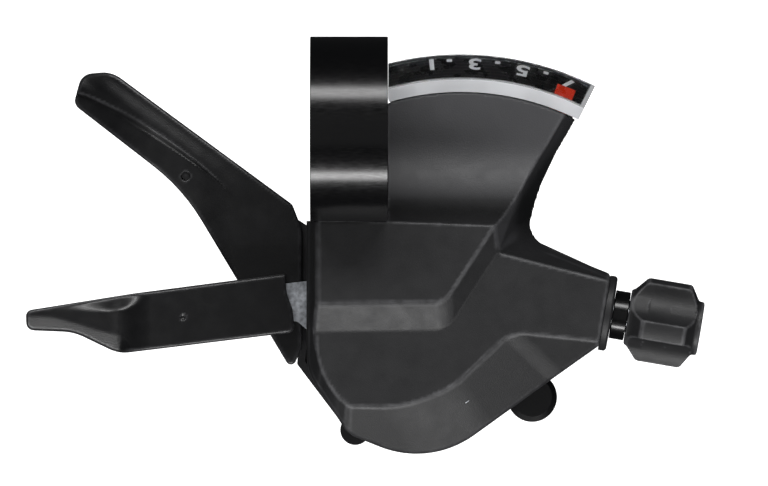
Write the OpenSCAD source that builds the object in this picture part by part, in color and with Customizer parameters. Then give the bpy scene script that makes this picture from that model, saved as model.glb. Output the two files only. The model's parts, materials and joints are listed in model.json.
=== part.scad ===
// Right-hand under-bar gear shifter for seven speeds: thumb lever, finger trigger, cable reel,
// ratchet, geared indicator needle and cable adjuster. Millimetres.
// X runs along the handlebar towards the cable, Y runs towards the rider, Z runs up out of the top
// cover, and the origin is the centre of the handlebar clamp.

/* [Handlebar clamp] */
// Diameter of the handlebar inside the band
bar_d = 22.2; // [22.0:0.1:22.4]
// Outer diameter of the band
band_d = 28; // [27.6:0.1:28.2]
// Width of the band along the handlebar
band_w = 11.8; // [11:0.1:12]
// Gap between the two ears of the band
band_gap = 1.6; // [1:0.1:2]

/* [Covers] */
// Wall thickness of the moulded covers
skin = 1.4; // [1.2:0.1:1.5]
// Height of the raised plateau above the handlebar axis (negative is below)
plateau_z = -3.0; // [-3.2:0.1:-2.9]
// Height of the lower plateau
shoulder_z = -5.5; // [-5.7:0.1:-5.4]
// Height of the flat fan above the indicator
fan_z = -12.8; // [-13:0.1:-12.7]
// Radius of the hollow that the handlebar lies in
channel_r = 12.3; // [12.2:0.1:12.4]

/* [Indicator] */
// Outer radius of the window about the needle's pivot
window_r = 45.5; // [45.3:0.1:45.6]
// Angle of the needle in the highest gear, from the handlebar's direction
needle_rest = 68.3; // [68:0.1:69]

/* [Gears] */
// Number of gears
gears = 7; // [7:1:7]
// Teeth on the ratchet wheel, one per gear step
ratchet_teeth = 21; // [21:1:21]
// Teeth on the reel's pinion
pinion_teeth = 15; // [15:1:15]
// Teeth of the full circle that the needle's inner sector belongs to
sector_teeth = 56; // [56:1:56]
// Module of the indicator gearing
gear_module = 0.5; // [0.5:0.1:0.5]

/* [Running fits] */
// Radius of the main axle
axle_r = 3.0; // [2.95:0.05:3.0]
// Radial clearance of every running fit
play = 0.05; // [0.03:0.01:0.08]

/* [Cable adjuster] */
// Radius of the knob over its lobes
knob_r = 6.4; // [6.2:0.05:6.5]
// Radius of the socket for the end of the cable housing
socket_r = 3.0; // [2.9:0.05:3.1]
// Radius of the bore for the inner cable
cable_r = 0.9; // [0.8:0.05:1.0]

/* [Hidden] */
$fn = 72;

// Colours
black_plastic = [0.07, 0.07, 0.075];
gloss_black = [0.03, 0.03, 0.03];
steel = [0.62, 0.63, 0.65];
zinc = [0.5, 0.51, 0.53];
clear = [0.85, 0.9, 0.92, 0.4];
red = [0.85, 0.12, 0.06];
white_nylon = [0.85, 0.85, 0.82];

// Plan positions
axle = [7, -32];                         // main axle
sector_r = gear_module * sector_teeth / 2;
pinion_r = gear_module * pinion_teeth / 2;
needle_pivot = axle + (sector_r - pinion_r) * [cos(-11.3), sin(-11.3)];
boss = [27.9, -40.8];                    // large round boss beside the covers
ear = [0.9, -45.9];                      // small screw ear of the base plate

// Levels, from the top down
skirt_z = -18;                           // lower edge of the top cover
lever_roof_z = -17.1;                    // lower edge of the top cover above the levers
top_plate_z = -8.8;                      // underside of the top plate
reel_top_z = -9.0;
reel_low_z = -14.8;
groove_z = -11.3;                        // middle of the cable groove, on the cable's line
pinion_low_z = -16.6;
needle_low_z = -16.2;
needle_top_z = -15.0;
wheel_top_z = -17.0;
wheel_low_z = -18.6;
trigger_top_z = -19.2;
trigger_low_z = -20.4;
thumb_top_z = -22.6;
thumb_low_z = -24.2;
base_top_z = -25.6;
base_low_z = -27.2;
floor_top_z = -29.7;
floor_low_z = -30.9;

// Cable adjuster: its axis leaves the centre of the collar's face
adjuster_turn = -9.6;
adjuster_face = [40.8, -28.23, groove_z];

// ---------- plane geometry ----------

function polar(r, a) = [r * cos(a), r * sin(a)];
function turned(v, a) = [v[0] * cos(a) - v[1] * sin(a), v[0] * sin(a) + v[1] * cos(a)];
function unit(v) = v / norm(v);
function left_of(v) = [-v[1], v[0]];
function cross2(a, b) = a[0] * b[1] - a[1] * b[0];
function xy(p) = [p[0], p[1]];

// Points of the arc of radius r that rounds corner q between its neighbours p and s
function fillet(p, q, s, r) =
    r < 0.01 ? [q] :
    let (u = unit(p - q), w = unit(s - q),
         half = acos(max(-1, min(1, u * w))) / 2,
         centre = q + unit(u + w) * r / sin(half),
         first = q + u * r / tan(half) - centre,
         sweep = 180 - 2 * half,
         steps = max(2, ceil(sweep / 10)))
    [for (i = [0 : steps]) centre + turned(first, sign(cross2(-u, w)) * sweep * i / steps)];

// A closed outline from corners [x, y, radius]
function rounded(c) = let (n = len(c))
    [for (i = [0 : n - 1]) each fillet(xy(c[(i + n - 1) % n]), xy(c[i]), xy(c[(i + 1) % n]), c[i][2])];

// The same corners moved inwards by d; the corners run anticlockwise
function inset(c, d) = let (n = len(c))
    [for (i = [0 : n - 1])
        let (p = xy(c[(i + n - 1) % n]), q = xy(c[i]), s = xy(c[(i + 1) % n]),
             n1 = left_of(unit(q - p)), n2 = left_of(unit(s - q)),
             m = q + d * (n1 + n2) / (1 + n1 * n2))
        [m[0], m[1], c[i][2] < 0.01 ? 0 : cross2(q - p, s - q) > 0 ? max(c[i][2] - d, 0) : c[i][2] + d]];

// Corners along an arc about centre c, with no rounding of their own
function arc_corners(c, r, a0, a1, steps) =
    [for (i = [0 : steps]) let (a = a0 + (a1 - a0) * i / steps) [c[0] + r * cos(a), c[1] + r * sin(a), 0]];

module plate(corners, z0, z1) {
    translate([0, 0, z0]) linear_extrude(z1 - z0) polygon(rounded(corners));
}

module at(p, z = 0) {
    translate([p[0], p[1], z]) children();
}

module disc(p, r, z0, z1) {
    at(p, z0) cylinder(r = r, h = z1 - z0);
}

module ring(p, r_in, r_out, z0, z1) {
    difference() {
        disc(p, r_out, z0, z1);
        disc(p, r_in, z0 - 1, z1 + 1);
    }
}

// Radial section of points [radius, z] swept about p from angle a0 to a1
module sector(p, section, a0, a1) {
    at(p) rotate([0, 0, a0]) rotate_extrude(angle = a1 - a0, $fn = 180) polygon(section);
}

// Round wire of radius w along a path that never runs straight up
module wire(path, w, sides = 8) {
    n = len(path);
    function tangent(i) = unit(path[min(i + 1, n - 1)] - path[max(i - 1, 0)]);
    function side_of(t) = unit(cross([0, 0, 1], t));
    rings = [for (i = [0 : n - 1]) let (t = tangent(i), s = side_of(t), u = cross(t, s))
        for (j = [0 : sides - 1]) path[i] + w * (cos(360 * j / sides) * s + sin(360 * j / sides) * u)];
    walls = [for (i = [0 : n - 2], j = [0 : sides - 1])
        let (k = (j + 1) % sides) [i * sides + j, (i + 1) * sides + j, (i + 1) * sides + k, i * sides + k]];
    ends = [[for (j = [0 : sides - 1]) j], [for (j = [sides - 1 : -1 : 0]) (n - 1) * sides + j]];
    polyhedron(rings, concat(walls, ends), convexity = 6);
}

// Helix about the z axis with a straight leg at each end
function coil(r, height, turns, start, leg, steps = 16) =
    let (count = round(turns * steps),
         at_angle = function (i) start + 360 * turns * i / count,
         body = [for (i = [0 : count]) [r * cos(at_angle(i)), r * sin(at_angle(i)), height * i / count]],
         a0 = at_angle(0), a1 = at_angle(count))
    concat([body[0] + leg * [sin(a0), -cos(a0), 0]], body, [body[count] + leg * [-sin(a1), cos(a1), 0]]);

// ---------- covers ----------

// Plan of the main pod, of its lower plateau and of the raised plateau's top and foot
pod_corners = [[-6.5, -14.4, 1], [-6.5, -36.75, 8], [-0.1, -46.4, 4], [12.3, -51.4, 15],
    [37.9, -32.97, 0.8], [39.76, -21.96, 0.8], [24.5, -15.0, 1], [22.5, -14.4, 1]];
shoulder_corners = [[-5.6, -14.9, 0.6], [-5.6, -32.5, 12], [-3.0, -41.3, 3.2], [12.8, -43.0, 3],
    [24.6, -32.6, 3], [38.0, -31.9, 0.6], [39.45, -23.4, 0.6], [23.5, -15.6, 1]];
plateau_foot = [[-6.4, -14.4, 0.5], [-6.4, -30.5, 0.8], [13.8, -30.5, 1.8], [24.0, -14.4, 1]];
plateau_top = [[-5.9, -14.4, 0.5], [-5.9, -26.7, 0.8], [14.8, -26.7, 1.2], [21.8, -14.4, 0.6]];
bevel_z = -9.5;                          // where the sloping rim of the pod meets its side wall

fan_r = 39.6;                            // edge of the fan, where the window begins
fan_left = 5.95;                         // the fan starts beside the band
fan_corners = concat(
    [[fan_left, -22, 0], [26, -22, 0], [31, -18.6, 0], [24.4, -15.8, 6.5]],
    arc_corners(needle_pivot, fan_r, 63.8, 105.6, 14));

// Everything inside the outer skin, shrunk by d, down to z0
module pod_space(d, z0) {
    difference() {
        union() {
            plate(inset(pod_corners, d), z0, bevel_z);
            hull() {
                plate(inset(pod_corners, d), bevel_z - 0.1, bevel_z);
                plate(inset(shoulder_corners, d * 0.6), shoulder_z - d - 0.1, shoulder_z - d);
            }
            hull() {
                plate(inset(plateau_foot, d), shoulder_z - d - 0.1, shoulder_z - d);
                plate(inset(plateau_top, d * 0.6), plateau_z - d - 0.1, plateau_z - d);
            }
            plate(inset(fan_corners, d), z0, shoulder_z - d);
        }
        // the hollow for the handlebar, and room for the band beside it
        translate([-30, -1.5, -0.5]) rotate([0, 90, 0]) cylinder(r = channel_r + d, h = 90, $fn = 120);
        translate([-30, -1.5, fan_z - d]) cube([90, 40, 40]);
        translate([-30, 0, 0]) rotate([0, 90, 0])
            cylinder(r = band_d / 2 + 0.05 + d, h = 30 + fan_left - 0.05, $fn = 120);
    }
}

module along_adjuster(s = 0) {
    translate(adjuster_face) rotate([0, 90, adjuster_turn]) translate([0, 0, s]) children();
}

screw_places = [[24.2, -30.0], [22.6, -39.0]];  // between the covers, clear of everything that turns
insert_r = 3.4;
insert_s = [-8, -2.1];                   // the threaded insert's place along the adjuster's axis

module top_cover() color(black_plastic) difference() {
    union() {
        difference() {
            pod_space(0, skirt_z);
            pod_space(skin, skirt_z - 2);
        }
        intersection() {
            pod_space(0.2, skirt_z);
            along_adjuster(-9) cylinder(r = 5.2, h = 6.9);
        }
        for (p = screw_places) disc(p, 1.9, skirt_z, shoulder_z - skin + 0.2);
    }
    along_adjuster(insert_s[0] - 2) cylinder(r = insert_r, h = insert_s[1] - insert_s[0] + 2);
    along_adjuster(-4) cylinder(r = 2.9, h = 10);
    for (p = screw_places) disc(p, 1.0, skirt_z - 1, -11);
    // the needle passes under the fan's edge into the window
    sector(needle_pivot, [[30, skirt_z - 1], [41, skirt_z - 1], [41, fan_z - skin], [30, fan_z - skin]], 65.2, 104.2);
    // the left side stays open for the two levers
    translate([-20, -60, skirt_z - 1]) cube([20.5, 45.4, lever_roof_z - skirt_z + 1]);
}

// Plan of the tray under the mechanism; its lower left corner shows outside the top cover
tray_corners = [[-6.0, -15.0, 0.8], [-8.0, -35.8, 0.6], [-0.6, -45.6, 1], [12.3, -50.8, 14.5],
    [25.6, -41.2, 2], [27.2, -20.5, 2], [22, -15.0, 1]];
// The walls stop below the levers between these directions from the main axle
slot_from = 116;
slot_to = 252;

module lower_cover() color(black_plastic) {
    lip_z = base_top_z + 0.2;
    difference() {
        union() {
            difference() {
                plate(tray_corners, floor_low_z, skirt_z - 0.1);
                plate(inset(tray_corners, 1.2), floor_top_z, skirt_z + 1);
            }
            difference() {
                plate(inset(pod_corners, 0.15), skirt_z - 1.4, skirt_z - 0.1);
                translate([-40, -80, -40]) cube([66, 80, 40]);
                disc(boss, 4.1, -22, -16);
            }
            for (p = screw_places) disc(p, 2.4, floor_low_z, skirt_z - 0.1);
            disc(boss, 3.2, -27, -21.1);
            hull() {
                disc(boss, 2.2, -27, -23);
                disc([24.5, -40], 1.5, -27, -23);
            }
            disc(ear, 2.3, floor_low_z, base_low_z - 0.1);
        }
        for (p = screw_places) {
            disc(p, 1.15, floor_low_z - 1, skirt_z + 1);
            disc(p, 2.0, floor_low_z - 1, -26.5);
        }
        disc(boss, 1.15, -28, -20);
        disc(ear, 1.0, floor_low_z - 1, base_low_z + 1);
        disc(boss, 3.85, -21.05, -17);
        // the mouth for the levers
        intersection() {
            at(axle, lip_z) rotate([0, 0, slot_from]) rotate_extrude(angle = slot_to - slot_from)
                translate([1, 0]) square([40, 20]);
            translate([-30, -60, -40]) cube([42, 60, 40]);
        }
        // the way out for the base plate's neck, and a notch for its ear
        translate([-5.6, -18, base_low_z - 0.2]) cube([11.2, 6, 20]);
        disc(ear, 2.5, base_low_z - 0.1, lip_z + 0.1);
    }
}

module pan_screw(p, z_head, length, r = 0.95, head_r = 1.8, head_h = 1.2) {
    difference() {
        union() {
            disc(p, r, z_head + head_h, z_head + head_h + length);
            disc(p, head_r, z_head, z_head + head_h);
        }
        for (a = [0, 90]) at(p, z_head - 0.01) rotate([0, 0, a])
            translate([-1.1, -0.2, 0]) cube([2.2, 0.4, 0.75]);
    }
}

module cover_screws() color(zinc) {
    for (p = screw_places) pan_screw(p, -27.75, 12.5);
    pan_screw(ear, floor_low_z - 1.0, 4.6, head_r = 1.7, head_h = 0.98);
    pan_screw(boss, -28.2, 6.4, r = 1.05, head_r = 1.9);
}

module boss_cap() color(black_plastic) difference() {
    union() {
        disc(boss, 3.8, -21.0, -19.2);
        at(boss, -19.2) cylinder(r1 = 3.8, r2 = 3.0, h = 0.8);
    }
    disc(boss, 1.1, -22, -19.9);
}

// ---------- frame ----------

post_places = [[16.9, -40.3], [2.0, -17.8]];
post_r = 1.4;
rivet_r = 0.9;
tab_y = [-6.2, -4.4];                    // the tab that stands against the clamp's front ear
clamp_z = -18.6;                         // height of the clamp bolt

pawl_pivot = axle + polar(11.6, 256);    // positioning pawl
pawl_nose = axle + polar(9.35, 292);
pawl_foot = axle + polar(10.1, 285);     // its foot, which the trigger's cam lifts
winding_pivot = axle + polar(12.3, 30);  // winding pawl, carried by the thumb lever
winding_nose = axle + polar(9.35, 60);
pin_r = 0.9;

module base_plate() color(steel) difference() {
    union() {
        plate(inset(tray_corners, 1.5), base_low_z, base_top_z);
        translate([-5, -17, base_low_z]) cube([10, 17 + tab_y[1], base_top_z - base_low_z]);
        translate([-5, tab_y[0], base_low_z]) cube([10, tab_y[1] - tab_y[0], -14.8 - base_low_z]);
        disc(ear, 2.2, base_low_z, base_top_z);
    }
    disc(axle, axle_r, base_low_z - 1, base_top_z + 1);
    disc(needle_pivot, 1.0, base_low_z - 1, base_top_z + 1);
    disc(pawl_pivot, pin_r, base_low_z - 1, base_top_z + 1);
    disc(ear, 0.95, base_low_z - 1, base_top_z + 1);
    for (p = post_places) disc(p, rivet_r, base_low_z - 1, base_top_z + 1);
    for (p = screw_places) disc(p, 2.6, base_low_z - 1, base_top_z + 1);
    translate([0, 0, clamp_z]) rotate([90, 0, 0]) translate([0, 0, -tab_y[1] - 1]) cylinder(r = 2.65, h = 4);
}

top_plate_corners = [[0.2, -16.2, 1.6], [0.2, -19.4, 3], [5, -36, 4], [10, -37.5, 4], [15.2, -42.0, 1.6],
    [18.8, -41.6, 1.6], [18.6, -38.2, 2], [12, -27, 4], [4.2, -16.2, 1.6]];

module top_plate() color(steel) difference() {
    union() {
        plate(top_plate_corners, top_plate_z, top_plate_z + 1);
        disc(axle, 5, top_plate_z, top_plate_z + 1);
    }
    disc(axle, 2.2, top_plate_z - 1, top_plate_z + 2);
    for (p = post_places) disc(p, rivet_r, top_plate_z - 1, top_plate_z + 2);
}

module frame_posts() color(zinc) for (p = post_places) {
    disc(p, post_r, base_top_z, top_plate_z);
    disc(p, rivet_r, base_low_z - 0.4, top_plate_z + 0.95);
}

module main_axle() color(zinc) {
    disc(axle, axle_r, base_low_z - 0.1, top_plate_z);
    disc(axle, 2.2, top_plate_z, top_plate_z + 1);
    disc(axle, 2.9, top_plate_z + 1, top_plate_z + 1.6);
    disc(axle, 2.0, base_low_z - 2.2, base_low_z);
}

module axle_nut() color(zinc) difference() {
    at(axle, base_low_z - 2.0) cylinder(r = 4.0, h = 1.9, $fn = 6);
    disc(axle, 2.0, base_low_z - 3, base_low_z + 1);
}

module axle_bushes() color(white_nylon) {
    ring(axle, axle_r, 4.6, wheel_low_z - 0.5, wheel_low_z - 0.1);
    ring(axle, axle_r, 4.2, thumb_top_z + 0.1, trigger_low_z - 0.1);
    ring(axle, axle_r, 4.2, base_top_z, thumb_low_z - 0.1);
}

// ---------- handlebar clamp ----------

ear_out = 4.3;                           // outer face of each ear, from the middle of the gap

module clamp_band() color(gloss_black) difference() {
    union() {
        rotate([0, 90, 0]) cylinder(r = band_d / 2, h = band_w, center = true, $fn = 120);
        translate([-band_w / 2, -ear_out, -22.2]) cube([band_w, 2 * ear_out, 10]);
    }
    rotate([0, 90, 0]) cylinder(r = bar_d / 2, h = band_w + 2, center = true, $fn = 120);
    translate([-band_w, -band_gap / 2, -30]) cube([2 * band_w, band_gap, 30]);
    translate([0, 0, clamp_z]) rotate([90, 0, 0]) cylinder(r = 2.7, h = 20, center = true);
    // the lower corners of the ears are rounded
    for (m = [0, 1]) mirror([m, 0, 0]) translate([band_w / 2, 10, -22.2]) rotate([90, 0, 0])
        linear_extrude(20) polygon([[0.1, -0.1], [-3, -0.1], [-2.2, 0.5], [-1, 1.6], [0.1, 3.4]]);
}

module clamp_bolt() color(zinc) translate([0, 0, clamp_z]) rotate([90, 0, 0]) difference() {
    union() {
        translate([0, 0, -ear_out - 5]) cylinder(r = 4.25, h = 5);
        translate([0, 0, -ear_out]) cylinder(r = 2.5, h = ear_out + 10.6);
    }
    translate([0, 0, -ear_out - 6]) cylinder(r = 2.35, h = 3.6, $fn = 6);
}

module clamp_nut() color(zinc) translate([0, 0, clamp_z]) rotate([90, 0, 0]) difference() {
    translate([0, 0, 6.25]) cylinder(r = 4.6, h = 3.8, $fn = 6);
    translate([0, 0, 5]) cylinder(r = 2.5, h = 6);
}

// ---------- indicator ----------

// The window has a flat rim and a sloping face; the needle's tip and the dial lie parallel under it
rim_r = 41.7;                            // where the sloping face begins
foot_z = -17.6;                          // where it ends, at window_r
slope = (fan_z - foot_z) / (window_r - rim_r);
left_edge = 5.95;
function face_z(r, drop) = fan_z - drop - slope * (r - rim_r);

module right_of_band() intersection() {
    translate([left_edge, -60, -40]) cube([60, 100, 40]);
    children();
}

module indicator_window() color(clear) right_of_band() sector(needle_pivot,
    [[fan_r + 0.1, fan_z], [rim_r, fan_z], [window_r, foot_z], [window_r, -19.3], [window_r - 0.7, -19.3],
     [window_r - 0.7, foot_z - 0.25], [rim_r - 0.34, fan_z - 0.7], [fan_r + 0.1, fan_z - 0.7]], 63.3, 106);

module dial_plate() color(gloss_black) right_of_band() sector(needle_pivot,
    [[41.2, face_z(41.2, 2.35)], [44.7, face_z(44.7, 2.35)], [44.7, -19.4], [44.4, -19.4],
     [41.2, face_z(41.2, 3.15)]], 64.2, 105.8);

module indicator_base() color(black_plastic) right_of_band() difference() {
    sector(needle_pivot, [[22, -19.4], [43.8, -19.4], [43.8, -18.95], [43.2, -18.3], [22, -18.3]], 64.6, 105.8);
    plate(inset(tray_corners, -0.3), -20, -18);
}

// Tooth flanks of a gear with n teeth between angles, as a closed fan of points; depth is signed
function teeth(n, r, tip, root, first, last) = let (step = 360 / n)
    [for (i = [first : last]) each [
        polar(root, (i - 0.42) * step), polar(root, (i - 0.30) * step), polar(r, (i - 0.215) * step),
        polar(tip, (i - 0.12) * step), polar(tip, (i + 0.12) * step), polar(r, (i + 0.215) * step),
        polar(root, (i + 0.30) * step)]];

sector_from = 133;                       // the needle's toothed stretch at rest
sector_to = 177;
mesh_angle = 168.7;                      // from the needle's pivot to the reel's axle
// Plan of the needle's arm, which bows away from the fan's right wall
needle_arm = [[0, -2], [10, -1.2], [17, 0.6], [21, 1.0], [29, 1.0], [35, -0.6], [38.5, -1.1],
    [38.5, 1.2], [34, 2.4], [28, 3.4], [21, 3.4], [16, 3.0], [10, 2.0], [0, 2]];

module indicator_needle() color(red) {
    rim_out = sector_r + 2.4;
    tooth_step = 360 / sector_teeth;
    first = floor((sector_from - mesh_angle) / tooth_step);
    last = ceil((sector_to - mesh_angle) / tooth_step);
    a_last = mesh_angle + (last + 0.42) * tooth_step;
    tooth_row = [for (p = teeth(sector_teeth, sector_r, sector_r - 0.45, sector_r + 0.6, first, last))
        turned(p, mesh_angle)];
    rim_steps = 48;
    rim_angles = [for (i = [0 : rim_steps]) a_last + (needle_rest + 2 - a_last) * i / rim_steps];
    // the teeth, then back along the rim's inner edge to the arm and out round its outer edge
    rim = concat(tooth_row,
        [for (a = rim_angles) polar(rim_out, a)],
        [for (i = [rim_steps : -1 : 0]) let (a = rim_angles[i]) if (a < sector_from - 4) polar(sector_r + 0.6, a)]);
    at(needle_pivot, needle_low_z) linear_extrude(needle_top_z - needle_low_z) difference() {
        union() {
            polygon(rim);
            rotate([0, 0, needle_rest]) polygon(needle_arm);
            circle(r = 2.4);
        }
        circle(r = 1.0 + play);
    }
    // the red tip climbs over the dial
    sector(needle_pivot, [[38, needle_top_z], [39.9, needle_top_z], [40.5, -13.9], [41.35, -13.9],
        [43.3, face_z(43.3, 1.48)], [43.3, face_z(43.3, 2.02)], [41.15, -14.2], [40.85, -14.3],
        [40.4, needle_low_z], [38, needle_low_z]], needle_rest - 1.95, needle_rest + 1.95);
}

module needle_pin() color(zinc) {
    disc(needle_pivot, 1.0, base_low_z, needle_top_z - 0.02);
    disc(needle_pivot, 1.25, base_top_z, needle_low_z - 0.1);
}

// ---------- cable reel and ratchet ----------

groove_r = 9.1;
flange_r = 10.8;

module cable_reel() color(white_nylon) difference() {
    at(axle) rotate_extrude($fn = 120) polygon([
        [axle_r + play, reel_low_z], [flange_r, reel_low_z], [flange_r, groove_z - 1.3],
        [groove_r, groove_z - 0.7], [groove_r, groove_z + 0.7], [flange_r, groove_z + 1.3],
        [flange_r, reel_top_z - 0.1], [7.6, reel_top_z - 0.1], [7.6, -12.2], [4.4, -12.2],
        [4.4, reel_top_z - 0.1], [axle_r + play, reel_top_z - 0.1]]);
    // pocket for the cable's head
    at(axle + polar(9.8, 60), groove_z - 0.4) cylinder(r = 1.6, h = 10);
}

module drive_pinion() color(white_nylon) difference() {
    union() {
        at(axle, pinion_low_z) linear_extrude(reel_low_z - pinion_low_z) rotate([0, 0, mesh_angle + 180 / pinion_teeth])
            polygon(teeth(pinion_teeth, pinion_r, pinion_r + 0.45, pinion_r - 0.6, 0, pinion_teeth - 1));
        disc(axle, 3.9, wheel_top_z, pinion_low_z);
        at(axle, wheel_low_z) cylinder(r = 4.6, h = wheel_top_z - wheel_low_z, $fn = 6);
    }
    disc(axle, axle_r + play, wheel_low_z - 1, reel_low_z + 1);
}

wheel_r = 9.0;
wheel_root_r = 7.7;

module ratchet_wheel() color(steel) difference() {
    step = 360 / ratchet_teeth;
    at(axle, wheel_low_z) linear_extrude(wheel_top_z - wheel_low_z)
        polygon([for (i = [0 : ratchet_teeth - 1]) each [polar(wheel_root_r, i * step),
            polar(wheel_r, (i + 0.05) * step), polar(wheel_r, (i + 0.25) * step),
            polar(wheel_root_r, (i + 0.98) * step)]]);
    at(axle, wheel_low_z - 1) cylinder(r = 4.6, h = 4, $fn = 6);
    for (a = [30 : 60 : 330]) disc(axle + polar(6.3, a), 0.7, wheel_low_z - 1, wheel_top_z + 1);
}

module reel_spring() color(steel) at(axle, -11.7) wire(coil(6.3, 2.0, 3, 20, 1.2), 0.3);

// ---------- thumb lever ----------

thumb_outline = [[-36.3, 8.9, 4.5], [-40.9, 8.5, 2.2], [-42.2, 3.9, 1.5], [-25.5, -9.0, 30],
    [-8.8, -36.8, 0.8], [-7.2, -33.2, 0.8], [-7.2, -15.2, 1.5], [-8.7, -11.4, 1.4]];
thumb_plate_outline = [[-28, -0.5, 1.6], [-30.5, -3.4, 1.6], [-22.6, -9.6, 12], [-12, -27.5, 1], [-11, -31, 1],
    [-4, -33, 2], [2, -40, 3], [12, -35, 3], [11, -22, 3], [1, -19.5, 5]];

module thumb_lever_plate() color(steel) {
    difference() {
        union() {
            plate(thumb_plate_outline, thumb_low_z, thumb_top_z);
            disc(axle, 8, thumb_low_z, thumb_top_z);
            at(axle, thumb_low_z) linear_extrude(thumb_top_z - thumb_low_z) polygon(rounded([
                [0, 0, 0], each [[12.4, 4.2, 2.1], [10.6, 9.4, 2.1]], [0, 5, 0]]));
        }
        disc(axle, axle_r + play, thumb_low_z - 1, thumb_top_z + 1);
        disc(winding_pivot, pin_r, thumb_low_z - 1, thumb_top_z + 1);
    }
}

thumb_cover_z = [-24.6, -21.3];

module thumb_lever_cover() color(black_plastic) difference() {
    union() {
        intersection() {
            plate(thumb_outline, thumb_cover_z[0], thumb_cover_z[1]);
            translate([-34, -50, -40]) cube([40, 80, 40]);
        }
        // the pad bends down towards its tip
        hull() {
            intersection() {
                plate(thumb_outline, thumb_cover_z[0], thumb_cover_z[1]);
                translate([-32, -50, -40]) cube([3, 80, 40]);
            }
            intersection() {
                plate(inset(thumb_outline, 0.3), -33.5, -25.4);
                translate([-45, -50, -40]) cube([9, 80, 40]);
            }
        }
    }
    plate(thumb_plate_outline, thumb_low_z, thumb_top_z);
    at([-25.0, -7.1], -22.6) cylinder(r = 0.7, h = 4);
}

module thumb_lever_spring() color(steel) at(axle, base_top_z + 0.34) wire(coil(5.4, 0.66, 1.5, 200, 1.5), 0.18);

module winding_pawl() color(steel) difference() {
    union() {
        disc(winding_pivot, 1.8, wheel_low_z, wheel_top_z);
        at([0, 0], wheel_low_z) linear_extrude(wheel_top_z - wheel_low_z)
            polygon([winding_pivot + polar(1.8, 30), winding_pivot + polar(1.8, 100),
                winding_nose + polar(1.9, 62), winding_nose, winding_nose + polar(0.6, -30),
                winding_pivot + polar(1.8, 205)]);
    }
    disc(winding_pivot, pin_r + play, wheel_low_z - 1, wheel_top_z + 1);
}

module winding_pawl_pin() color(zinc) {
    disc(winding_pivot, pin_r, thumb_low_z - 0.3, wheel_top_z + 0.1);
    disc(winding_pivot, 1.4, thumb_top_z, thumb_top_z + 0.5);
    disc(winding_pivot, 1.4, wheel_low_z - 0.6, wheel_low_z - 0.1);
}

module winding_pawl_spring() color(steel)
    at(winding_pivot, thumb_top_z + 0.8) wire(coil(1.35, 2.3, 4, 0, 0.9, 12), 0.18, 6);

// ---------- trigger ----------

trigger_outline = [[-9.2, -21.9, 0.6], [-33.0, -25.0, 0], [-49.3, -27.6, 1.0], [-49.2, -30.6, 1.2],
    [-42, -30.9, 8], [-35.2, -34.2, 5], [-8.3, -30.9, 1.0]];
trigger_plate_outline = [[-30, -25.8, 1], [-34, -29, 1.5], [-30, -31.8, 1.5], [-8, -29.2, 1], [0, -36, 3],
    [6, -38.5, 3], [10, -26.5, 3], [-2, -22.6, 6]];
cam_r = [9.1, 9.75];                     // the cam's radius before and after it lifts the pawl's foot
trigger_stroke = 14;

module trigger_plate() color(steel) difference() {
    union() {
        plate(trigger_plate_outline, trigger_low_z, trigger_top_z);
        disc(axle, 6, trigger_low_z, trigger_top_z);
        at(axle, trigger_low_z) linear_extrude(trigger_top_z - trigger_low_z)
            polygon(concat([[0, 0], polar(cam_r[0], 276)],
                [for (i = [0 : 6]) polar(cam_r[0] + (cam_r[1] - cam_r[0]) * i / 6, 286 + trigger_stroke * i / 6)],
                [polar(cam_r[1], 306), polar(cam_r[1], 312)]));
    }
    disc(axle, axle_r + play, trigger_low_z - 1, trigger_top_z + 1);
}

trigger_cover_z = [-20.9, -17.4];

module trigger_cover() color(black_plastic) difference() {
    union() {
        intersection() {
            plate(trigger_outline, trigger_cover_z[0], trigger_cover_z[1]);
            translate([-38, -50, -40]) cube([60, 80, 40]);
        }
        // the finger pad rises towards its tip
        hull() {
            intersection() {
                plate(trigger_outline, trigger_cover_z[0], -17.8);
                translate([-37, -50, -40]) cube([3, 80, 40]);
            }
            intersection() {
                plate(trigger_outline, -17.4, -14.0);
                translate([-50, -50, -40]) cube([5, 80, 40]);
            }
        }
    }
    plate(trigger_plate_outline, trigger_low_z, trigger_top_z);
    at([-25.3, -28.6], -17.9) cylinder(r = 0.5, h = 4);
}

module trigger_spring() color(steel) at(axle, trigger_low_z - 1.75) wire(coil(5.4, 1.3, 2.2, 100, 1.5), 0.26);

module positioning_pawl() color(steel) {
    difference() {
        union() {
            disc(pawl_pivot, 1.8, wheel_low_z, wheel_top_z);
            at([0, 0], wheel_low_z) linear_extrude(wheel_top_z - wheel_low_z)
                polygon([pawl_pivot + polar(1.8, 110), pawl_pivot + polar(1.8, 290),
                    pawl_foot + polar(1.2, 285), pawl_nose + polar(1.2, 300), pawl_nose,
                    pawl_nose + polar(0.5, 200)]);
        }
        disc(pawl_pivot, pin_r + play, wheel_low_z - 1, wheel_top_z + 1);
    }
    disc(pawl_foot, 0.6, trigger_low_z, wheel_low_z);
}

module positioning_pawl_pin() color(zinc) {
    disc(pawl_pivot, pin_r, base_low_z, wheel_top_z + 0.3);
    disc(pawl_pivot, 1.5, base_top_z, wheel_low_z - 0.1);
}

module positioning_pawl_spring() color(steel)
    at(pawl_pivot, -24.6) wire(coil(2.0, 2.2, 3, 90, 1.2, 12), 0.2, 6);

// ---------- cable adjuster ----------

bolt_r = 2.4;
neck_r = 3.7;
knob_s = [1.6, 12.85];                    // the knob's ends along the axis

module nozzle_collar() color(black_plastic) along_adjuster(-2.05) difference() {
    union() {
        cylinder(r = 5.75, h = 0.9);
        translate([0, 0, 0.9]) cylinder(r1 = 5.75, r2 = 5.45, h = 0.3);
    }
    translate([0, 0, -1]) cylinder(r = 2.9, h = 4);
}

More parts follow.
